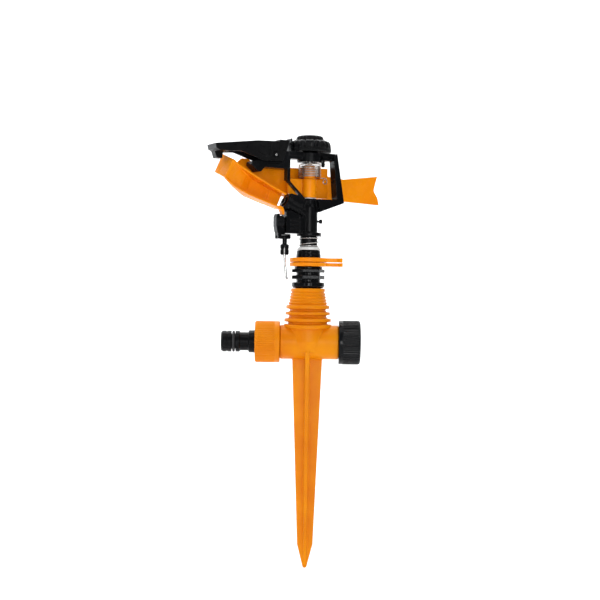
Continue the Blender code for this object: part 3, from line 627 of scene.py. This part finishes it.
def head_body():
    tube = turned("tube", fillet([(0, 121.9), (5.6, 121.9), (5.9, 118.0), (6.5, 116.0), (6.5, 97.0), (9.2, 96.7), (9.2, 94.0),
                                  (0, 94.0)], 0.3, 2, closed=False), 128, closed=False)
    jet_barrel = on_jet(rod("barrel", 4.9, 0.0, 23.0, 80))
    jet_flange = on_jet(rod("flange", 6.4, 18.8, 23.2, 80))
    jet_ring = on_jet(rod("jet_ring", 5.5, 9.0, 11.0, 80))
    adds = [tube, jet_barrel, jet_flange, jet_ring]
    adds.append(prism("rib", [(-7.6, 96.0), (-7.6, 110.0), (-3.0, 110.0), (-3.0, 96.0)], -4.5, 4.5))
    adds.append(prism("housing", [(-20.9, 95.6), (-20.9, 111.6), (-17.5, 112.8), (-7.0, 108.2), (-7.0, 95.6)], -4.8, 4.8))
    adds.append(prism("sill", [(25.0, 120.0), (24.4, 122.3), (-3.0, 122.3), (-5.0, 119.0), (0, 112.0), (7.0, 112.4)], -5.0, 1.0))
    adds.append(prism("corner", [(25.1, 119.6), (24.6, 122.2), (3.0, 121.8), (5.0, 112.3)], -9.4, -0.6))
    adds.append(prism("right", [(16.2, 154.0), (19.0, 121.0), (25.2, 119.6), (18.9, 157.2)], -9.5, -0.5))
    adds.append(prism("bar_top", [(-19.6, 157.2), (-20.0, 154.2), (18.4, 154.2), (18.9, 157.2)], -5.9, 5.9))
    adds.append(prism("bar_low", [(-19.8, 155.2), (-20.4, 151.6), (16.9, 151.6), (18.0, 155.0)], -4.7, 4.7))
    adds.append(rod("boss", 9.6, 149.9, 156.9, 96))
    adds.append(prism("stop", [(-17.9, 155.0), (-16.9, 155.0), (-16.9, 167.0), (-17.9, 167.0)], -5.0, 5.0))
    adds.append(prism("left", [(-20.9, 135.2), (-18.4, 135.2), (-18.4, 153.0), (-20.9, 153.0)], -4.9, 1.2))
    adds.append(prism("brace", [(-20.9, 137.4), (-20.9, 135.2), (-5.4, 120.0), (-3.2, 120.0)], -4.7, -0.6))
    bracket = [(-19.0, 157.2), (-28.0, 157.2), (-35.2, 156.8), (-41.5, 150.4), (-50.0, 148.0), (-50.4, 145.4), (-45.0, 140.6),
               (-42.8, 140.6), (-39.5, 144.1), (-19.0, 143.9)]
    adds.append(prism("bracket", bracket, -5.5, 5.5))
    adds.append(on_jet(rod("fill", 3.0, -1.0, 20.0, 48)))
    adds.append(moved(rod("anchor", 1.3, 147.0, 153.5, 40), shift(11.1, -0.6, 0)))
    adds.append(moved(rod("lug", 1.6, 94.0, 97.0, 32), shift(8.9, 0, 0)))
    adds.append(prism("web", [(-17.4, 125.3), (-16.4, 125.6), (-9.7, 124.2), (-5.4, 120.0), (-3.0, 117.5), (-8.0, 113.5), (-15.6, 117.0)], -3.9, -0.9))
    for z in (98.6, 101.8, 105.0):
        adds.append(block("slat", (-17.6, -5.5, z), (-8.4, -4.0, z + 1.1)))
    adds.append(block("post", (-10.0, -5.6, 96.4), (-8.6, -4.0, 108.4)))
    # thin moulded ribs down the tube's front, and a parting line round the nozzle
    for angle in (-124.8, -146.4, 62.0):
        fin = block("fin", (6.2, -0.42, 97.0), (7.15, 0.42, 117.0))
        adds.append(moved(fin, Matrix.Rotation(math.radians(angle), 4, "Z")))
    adds.append(moved(rod("stud", 1.3, 0.0, 3.2, 40, 0.3), shift(9.2, -1.6, 103.9)))
    adds.append(block("link", (5.6, -2.2, 104.9), (9.2, -1.0, 106.1)))
    cuts = [rod("waterway", 5.8, 92.0, 99.4, 80), rod("riser", 4.4, 92.0, 111.5, 80), on_jet(rod("jet", 2.6, 0.0, 26.0, 64)),
            on_jet(rod("seat", 3.9, 18.6, 26.0, 64)), rod("pin_hole", 2.1, 115.4, 126.0, 48), rod("cap_hole", 5.8, 147.0, 160.0, 80),
            along_v(rod("hinge", 1.2, -8.0, 8.0, 40), *FLAP_AXIS), along_x(rod("pivot", 1.5, -24.0, -9.0, 40), 0, 0, TRIP_Z),
            block("room", (-18.6, -4.0, 97.6), (-9.4, 6.0, 107.0)),
            # shallow panels that lighten the bracket and the strut
            prism("panel_a", [(-37.6, 147.0), (-24.5, 147.0), (-24.5, 151.0), (-37.6, 151.0)], -7.0, -4.6),
            prism("panel_b", [(-37.6, 147.0), (-24.5, 147.0), (-24.5, 151.0), (-37.6, 151.0)], 4.6, 7.0)]
    body = moulded("head", adds, cuts, 0.24, 3, 0.22)
    piece(body, "head_frame", BLACK, "head", ["head_body"], head=True, sharp=0)


SPOON = [
    (-21.5, 125.2, -26.3, 113.8, -3.4), (-30.4, 129.3, -35.2, 116.8, -3.4), (-31.4, 129.8, -36.4, 117.2, -4.4),
    (-45.4, 136.9, -51.5, 122.4, -4.9), (-49.4, 139.0, -55.8, 124.2, -2.2), (-51.8, 140.3, -58.2, 125.3, -0.4),
    (-57.0, 143.2, -63.6, 128.3, 2.4), (-62.4, 146.2, -69.2, 131.9, 5.6), (-65.6, 148.1, -72.4, 134.2, 7.0),
]


def hammer_arm():
    hub = turned("hub", fillet([(0, 148.2), (3.9, 148.2), (4.2, 147.8), (4.2, 137.3), (5.3, 137.3), (5.3, 123.3), (0, 123.3)],
                               0.3, 2, closed=False), 96, closed=False)
    skin = prism("skin", [(-16.9, 125.8), (-5.0, 123.6), (16.3, 123.4), (16.3, 137.4), (-15.4, 137.4), (-17.4, 135.4)], 1.6, 3.6)
    shelf = block("shelf", (-14.8, 2.2, 135.2), (15.6, 11.0, 137.1))
    foot = block("foot", (-7.0, 2.4, 123.8), (15.8, 11.2, 125.6))
    end = block("end", (14.2, 2.0, 124.4), (16.0, 10.8, 136.4))
    outline = [(16.3, 123.4), (34.5, 122.6), (66.2, 121.0), (65.0, 126.6), (61.4, 132.2), (63.0, 138.6), (64.6, 143.6),
               (34.5, 139.8), (20.6, 141.4), (20.6, 147.4), (-34.0, 145.6), (-41.0, 144.6), (-43.0, 148.6), (-46.5, 151.2),
               (-52.0, 151.4), (-55.4, 148.0), (-67.4, 151.2), (-70.8, 143.2), (-56.0, 137.6), (-30.0, 125.2), (-14.0, 123.9)]
    soft = [0.4] * len(outline)
    for k in (3, 4, 5, 12, 13, 14):
        soft[k] = 3.0
    wall = prism("wall", fillet(outline, soft, 5), 9.8, 12.0)
    rows = []
    fine = smooth_path([(a, b, c, d, v) for a, b, c, d, v in SPOON[3:]], 2.2)
    stations = [np.array(s, float) for s in SPOON[:3]] + fine
    for tu, tz, bu, bz, v in stations:
        t = 1.3 / math.hypot(tu - bu, tz - bz)
        lip = max(5.4, v + 0.9)
        section = [(v - 1.8, 0), (v - 1.8, 1), (lip, 1), (lip, 1 - t), (v, 1 - t), (v, t), (lip, t), (lip, 0)]
        rows.append([(bu + (tu - bu) * h, -w, bz + (tz - bz) * h) for w, h in section])
    spoon = loft("spoon", rows)
    tu, tz, bu, bz, v = SPOON[-1]
    tu, bu, tz, bz, v = tu - 0.36, bu - 0.36, tz + 0.17, bz + 0.17, v + 0.5
    dx, dz = 2.0 * math.cos(RISE), -2.0 * math.sin(RISE)
    end_plate = loft("end_plate", [
        [(tu, -v, tz), (bu, -v, bz), (bu + dx, -v, bz + dz), (tu + dx, -v, tz + dz)],
        [(-67.0, 11.6, 153.9), (-73.2, 11.6, 140.0), (-73.2 + dx, 11.6, 140.0 + dz), (-67.0 + dx, 11.6, 153.9 + dz)]])
    tie = prism("tie", [(-31.0, 126.4), (-50.0, 136.0), (-50.0, 138.2), (-31.0, 128.6)], 5.3, 10.8)
    finger = prism("finger", fillet([(-29.4, 115.6), (-26.2, 116.2), (-23.9, 115.0), (-22.9, 112.6), (-22.7, 109.6), (-24.0, 109.2),
                                     (-24.6, 111.8), (-25.4, 113.3), (-28.2, 113.9)], 0.8), -4.6, 1.0)
    peg = moved(along_v(rod("peg", 1.1, 0.2, 3.0, 40), 13.4, 136.0), shift(0, 2.6, 0))
    gusset = prism("gusset", [(5.0, 137.0), (8.4, 137.0), (5.0, 140.4), (3.6, 140.4)], 2.4, 3.6)
    adds = [hub, skin, shelf, foot, end, wall, spoon, end_plate, tie, finger, peg, gusset]
    bore = rod("bore", 2.3, 121, 151, 48)
    body = moulded("arm", adds, [bore], 0.24, 3, 0.25)
    piece(body, "hammer_arm_moulding", ORANGE, "arm", ["hammer_arm"], head=True, sharp=0)


def head_small_parts():
    insert = on_jet(turned("insert", fillet([(1.9, 24.0), (2.8, 24.0), (3.6, 23.7), (3.6, 19.0), (2.4, 19.0), (1.9, 21.0)], 0.15, 2), 80))
    piece(insert, "jet_insert", BLACK_GLOSS, "head", ["nozzle_insert"], head=True)
    piece(turned("pin", fillet([(0, 164.0), (1.9, 164.0), (1.9, 115.8), (0, 115.8)], 0.3, 3, closed=False), 64, closed=False),
          "arm_pivot_rod", STEEL, "head", ["pivot_pin"], head=True)
    piece(ring("washer", 2.3, 5.0, 122.55, 123.05, 0.12), "arm_hub_washer", NYLON, "head", ["hub_washer"], head=True)
    # the arm's torsion spring: a hook over the frame, the coil, and a leg down to the arm's peg
    radius, low, high, turns, start = 8.35, 138.5, 148.6, 8.03, -22.0
    points = []
    for i in range(14):                     # round the peg
        a = math.radians(-250 + 250 * i / 13)
        points.append((13.4 + 1.5 * math.cos(a), 0.5, 136.0 + 1.5 * math.sin(a)))
    points += smooth_path([(14.9, 0.45, 136.0), (14.6, -0.2, 137.6), (12.6, -1.6, 138.4), (9.6, -2.9, 138.4)], 0.5)[1:]
    count = 340
    for i in range(count + 1):
        t = i / count
        a = math.radians(start) + math.tau * turns * t
        points.append((radius * math.cos(a), radius * math.sin(a), low + (high - low) * t))
    a = math.radians(start) + math.tau * turns
    tip = (radius * math.cos(a), radius * math.sin(a), high)
    hook = [tip, (9.0, 0.6, 148.75), (9.9, 1.2, 148.85), (11.1, 1.25, 148.95), (12.5, 0.6, 149.05), (12.9, -0.7, 149.15),
            (12.2, -1.9, 149.25)]
    points += [tuple(p) for p in smooth_path(hook, 0.4)[1:]]
    # the spring's steel carries a painted orange reflection
    spring = piece(wire("spring", points, 0.38), "arm_torsion_spring", STEEL_ORANGE_REFLECTION, "head", ["arm_spring"], head=True, sharp=0, ride=False)
    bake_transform(spring)

    def fluted(r, z, a):
        if r < 9.0 or z < 157.9:
            return 0.0, 0.0
        if z < 160.55:                                   # the fine toothed rim
            return -0.35 * teeth(a, 66, 0.2), 0.0
        return (-1.25 if r > 12.6 else -0.7) * teeth(a, 20, 0.1), 0.0

    cap = [(0, 170.2), (7.8, 170.2), (9.6, 169.6), (10.4, 168.2), (10.6, 166.7), (12.8, 166.4), (14.9, 165.3), (15.9, 163.4),
           (16.2, 160.9), (16.0, 160.5), (16.3, 160.1), (16.3, 158.2), (15.8, 157.5), (5.5, 157.5), (5.5, 150.6), (2.3, 150.6),
           (2.3, 164.6), (0, 164.6)]
    piece(turned("cap", fillet(cap, 0.4, 3, closed=False), 528, closed=False, shape=fluted), "tension_knob", BLACK_GLOSS, "tension_cap",
          ["tension_cap"], head=True, sharp=50)


def flap():
    outline = [(-80.6, 159.3), (-79.8, 155.6), (-77.5, 154.8), (-75.8, 149.6), (-71.3, 149.4), (-70.8, 154.0), (-60.0, 154.7),
               (-41.2, 148.6), (-25.8, 149.4), (-20.6, 164.9), (-28.6, 165.0), (-29.2, 163.7), (-46.7, 163.3)]
    body = prism("flap", outline, -8.4, 8.4)
    hollow = prism("hollow", [(-69.0, 158.0), (-46.7, 161.0), (-18.0, 162.0), (-18.0, 146.0), (-69.0, 146.0)], -6.4, 6.4)
    notch = prism("notch", [(-90.0, 154.5), (-70.0, 154.2), (-70.0, 145.0), (-90.0, 145.0)], -12.0, 1.0)
    hinge = along_v(rod("hinge", 1.2, -12.0, 12.0, 40), *FLAP_AXIS)
    cuts = [hollow, notch, hinge]
    for side in (-1, 1):
        a, b = sorted((side * 9.4, side * 7.5))
        cuts.append(prism("window", [(-33.9, 151.5), (-33.9, 156.0), (-29.5, 156.0), (-29.5, 151.5)], a, b))
        c, d = sorted((side * 9.4, side * 7.9))
        cuts.append(prism("slot", [(-30.4, 156.4), (-30.4, 162.9), (-29.5, 162.9), (-29.5, 156.4)], c, d))
        cuts.append(prism("line", [(-47.4, 154.2), (-38.3, 151.2), (-38.3, 151.9), (-47.4, 154.9)], c, d))
        cuts.append(prism("seam", [(-37.2, 152.2), (-37.2, 162.5), (-36.7, 162.5), (-36.7, 152.2)], c, d))
        boss = along_v(turned("boss", fillet([(1.2, 8.5), (1.9, 8.5), (1.9, 7.0), (1.2, 7.0)], 0.15, 2), 48), *FLAP_AXIS)
        if side > 0:
            boss = moved(boss, Matrix.Scale(-1, 4, (0, 1, 0)))
        boss.name = "boss_%d" % side
    bosses = [o for o in bpy.data.objects if o.name.startswith("boss_")]
    shell = moulded("flap", [body], cuts, 0.22, 2, 0.25)
    shell = together("flap", [shell] + bosses)
    piece(shell, "diffuser_flap_shell", BLACK_SATIN, "flap", ["diffuser_flap"], head=True, sharp=0)
    piece(along_v(turned("pin", fillet([(0, 8.2), (0.95, 8.2), (0.95, -8.2), (0, -8.2)], 0.25, 3, closed=False), 48, closed=False),
                  *FLAP_AXIS), "flap_hinge_pin", STEEL, "head", ["flap_pin"], head=True)


def trip():
    outline = [(-21.5, 95.1), (-21.5, 107.4), (-25.3, 107.4), (-25.7, 109.6), (-26.3, 110.4), (-27.6, 110.0), (-28.5, 107.8),
               (-28.5, 101.0), (-27.6, 96.6), (-27.0, 95.4), (-27.0, 91.4), (-24.6, 91.4), (-24.6, 94.4), (-18.2, 94.4),
               (-18.2, 91.4), (-16.6, 91.4), (-16.6, 95.1)]
    paddle = prism("paddle", fillet(outline, 0.5), -3.0, 3.0)
    hub = along_x(turned("hub", fillet([(0, -21.4), (4.2, -21.4), (4.2, -28.2), (0, -28.2)], 0.7, 3, closed=False), 80, closed=False), 0, 0, TRIP_Z)
    collar = along_x(rod("collar", 5.0, -24.2, -22.6, 80), 0, 0, TRIP_Z)
    cuts = [along_x(rod("bore", 1.55, -27.1, -20.0, 40), 0, 0, TRIP_Z), along_x(rod("holes", 1.05, -28.0, -15.0, 40), 0, 0, KNUCKLE_Z)]
    piece(moulded("lever", [paddle, hub, collar], cuts, 0.2, 3, 0.3), "trip_paddle", BLACK, "trip", ["trip_lever"], head=True, sharp=0)
    piece(along_x(turned("pin", fillet([(0, -9.3), (1.25, -9.3), (1.25, -26.8), (0, -26.8)], 0.3, 3, closed=False), 48, closed=False), 0, 0, TRIP_Z),
          "trip_pivot_pin", STEEL, "head", ["trip_pivot"], head=True)
    bow = [(-12.0, 7.2, 104.2)] + [(9.3 * math.cos(math.radians(a)), 9.3 * math.sin(math.radians(a)), 104.2 + 1.2 * (140 - a) / 140)
                                   for a in range(140, -1, -14)] + [(9.2, -1.6, 105.4)]
    piece(wire("bow", smooth_path(bow, 0.4), 0.45), "trip_bow_spring", STEEL_DARK, "head", ["trip_spring"], head=True, sharp=0)
    parts = [along_x(rod("knuckle", 1.5, -24.2, -18.6, 48), 0, 0, KNUCKLE_Z), along_x(rod("trunnions", 0.8, -26.2, -16.9, 40), 0, 0, KNUCKLE_Z),
             moved(rod("shank", 1.8, 87.0, KNUCKLE_Z, 48), shift(-20.2, 0, 0)),
             moved(turned("socket", fillet([(0, 87.5), (2.6, 87.5), (3.3, 86.7), (3.3, 84.4), (3.0, 84.1), (3.0, 83.5), (3.3, 83.2),
                                            (3.3, 80.2), (2.7, 79.4), (0, 79.4)], 0.25, 2, closed=False), 72, closed=False), shift(-20.2, 0, 0))]
    slot = moved(block("slot", (-0.95, -6.0, 78.0), (0.95, 0.0, 84.6)), shift(-20.3, 0, 0) @ Matrix.Rotation(math.radians(-26.0), 4, "Z"))
    holder = moulded("holder", parts, [moved(rod("hole", 1.2, 77.0, 86.6, 40), shift(-20.3, 0, 0)), slot], 0.14, 3, 0.4)
    piece(holder, "trip_pin_socket", BLACK, "trip_pin", ["trip_pin_holder"], head=True, sharp=0)
    pin = smooth_path([(-20.3, 0, 86.2), (-20.2, 0, 79.0), (-19.55, 0, 71.0), (-18.85, 0, 63.8), (-18.5, 0, 62.4), (-17.9, 0, 61.4)], 0.7)
    piece(wire("pin", pin, 1.0, 20), "trip_pin_wire", STEEL, "trip_pin", ["trip_pin"], head=True, sharp=0)


spike_base()
hose_nipple()
union_nut()
end_cap()
bearing()
stem()
head_body()
hammer_arm()
head_small_parts()
flap()
trip()

# ------------------------------------------------------------------ stage, light, camera


def backdrop():
    """A pale floor that curves up behind, just below the spike's tip."""
    rows, wide = [], 2.6
    path = [(-1.6, -0.1595), (0.55, -0.1595)]
    path += [(0.55 + 0.6 * math.sin(a), -0.1595 + 0.6 * (1 - math.cos(a))) for a in (math.pi / 2 * k / 16 for k in range(1, 17))]
    path += [(1.15, 2.2)]
    verts, faces = [], []
    for y, z in path:
        verts += [(-wide, y, z), (wide, y, z)]
    for k in range(len(path) - 1):
        faces.append((2 * k, 2 * k + 1, 2 * k + 3, 2 * k + 2))
    mesh = bpy.data.meshes.new("floor")
    mesh.from_pydata(verts, [], faces)
    obj = link(bpy.data.objects.new("floor", mesh))
    mesh.shade_smooth()
    mat, tree, shader = shader_of("pale_floor")
    colour = ramp(tree, noise_at(tree, 6.0, 3.0), [(0.3, (0.90, 0.90, 0.90)), (0.7, (0.93, 0.93, 0.93))])
    tree.links.new(colour, shader.inputs["Base Color"])
    shader.inputs["Roughness"].default_value = 0.9
    shader.inputs["Specular IOR Level"].default_value = 0.1
    mesh.materials.append(mat)


def area(name, place, target, size, power, colour=(1, 1, 1)):
    data = bpy.data.lights.new(name, "AREA")
    data.shape = "RECTANGLE"
    data.size, data.size_y = size
    data.energy = power
    data.color = colour
    obj = link(bpy.data.objects.new(name, data))
    obj.location = place
    obj.rotation_mode = "QUATERNION"
    obj.rotation_quaternion = (Vector(target) - Vector(place)).to_track_quat("-Z", "Y")
    return obj


def at(azimuth, distance, height):
    """Azimuth 0 is the camera's side, positive to the right."""
    a = math.radians(azimuth)
    return (distance * math.sin(a), -distance * math.cos(a), height)


backdrop()
area("key_right", at(21, 1.25, 0.12), (0, 0, 0.06), (0.08, 1.1), 3.1, (0.96, 0.98, 1.0))
area("front", at(4, 1.55, 0.08), (0, 0, 0.06), (0.3, 0.35), 3.7)
area("strip_left", at(-24, 1.30, 0.20), (0, 0, 0.07), (0.06, 0.9), 1.3)
area("fill_right", at(62, 1.3, 0.85), (0, 0, 0.05), (0.9, 0.7), 2.6)
area("fill_left", at(-80, 1.3, 0.60), (0, 0, 0.06), (0.7, 0.7), 5.2)
area("rim_left", at(-128, 1.25, 0.14), (0, 0, 0.10), (0.5, 0.5), 1.8, (0.92, 0.97, 1.0))
area("top", (0.0, -0.45, 1.35), (0, 0, 0.05), (1.3, 0.9), 5.6)
area("behind", (0.0, 0.45, 1.3), (0, 1.15, 0.3), (2.4, 0.6), 27.0)

world = bpy.data.worlds.new("studio")
world.use_nodes = True
world.node_tree.nodes["Background"].inputs["Color"].default_value = (0.92, 0.95, 1.0, 1.0)
world.node_tree.nodes["Background"].inputs["Strength"].default_value = 0.26
bpy.context.scene.world = world

camera = link(bpy.data.objects.new("camera", bpy.data.cameras.new("camera")))
camera.data.sensor_width = 36.0
camera.data.lens = 78.95
camera.data.clip_end = 20.0
camera.matrix_world = (Matrix.Translation((-0.0060, -1.0, 0.0456)) @ Matrix.Rotation(math.pi / 2, 4, "X")
                       @ Matrix.Rotation(math.radians(0.75), 4, "Z"))
bpy.context.scene.camera = camera
bpy.context.scene.view_settings.view_transform = "Standard"

bpy.context.view_layer.update()
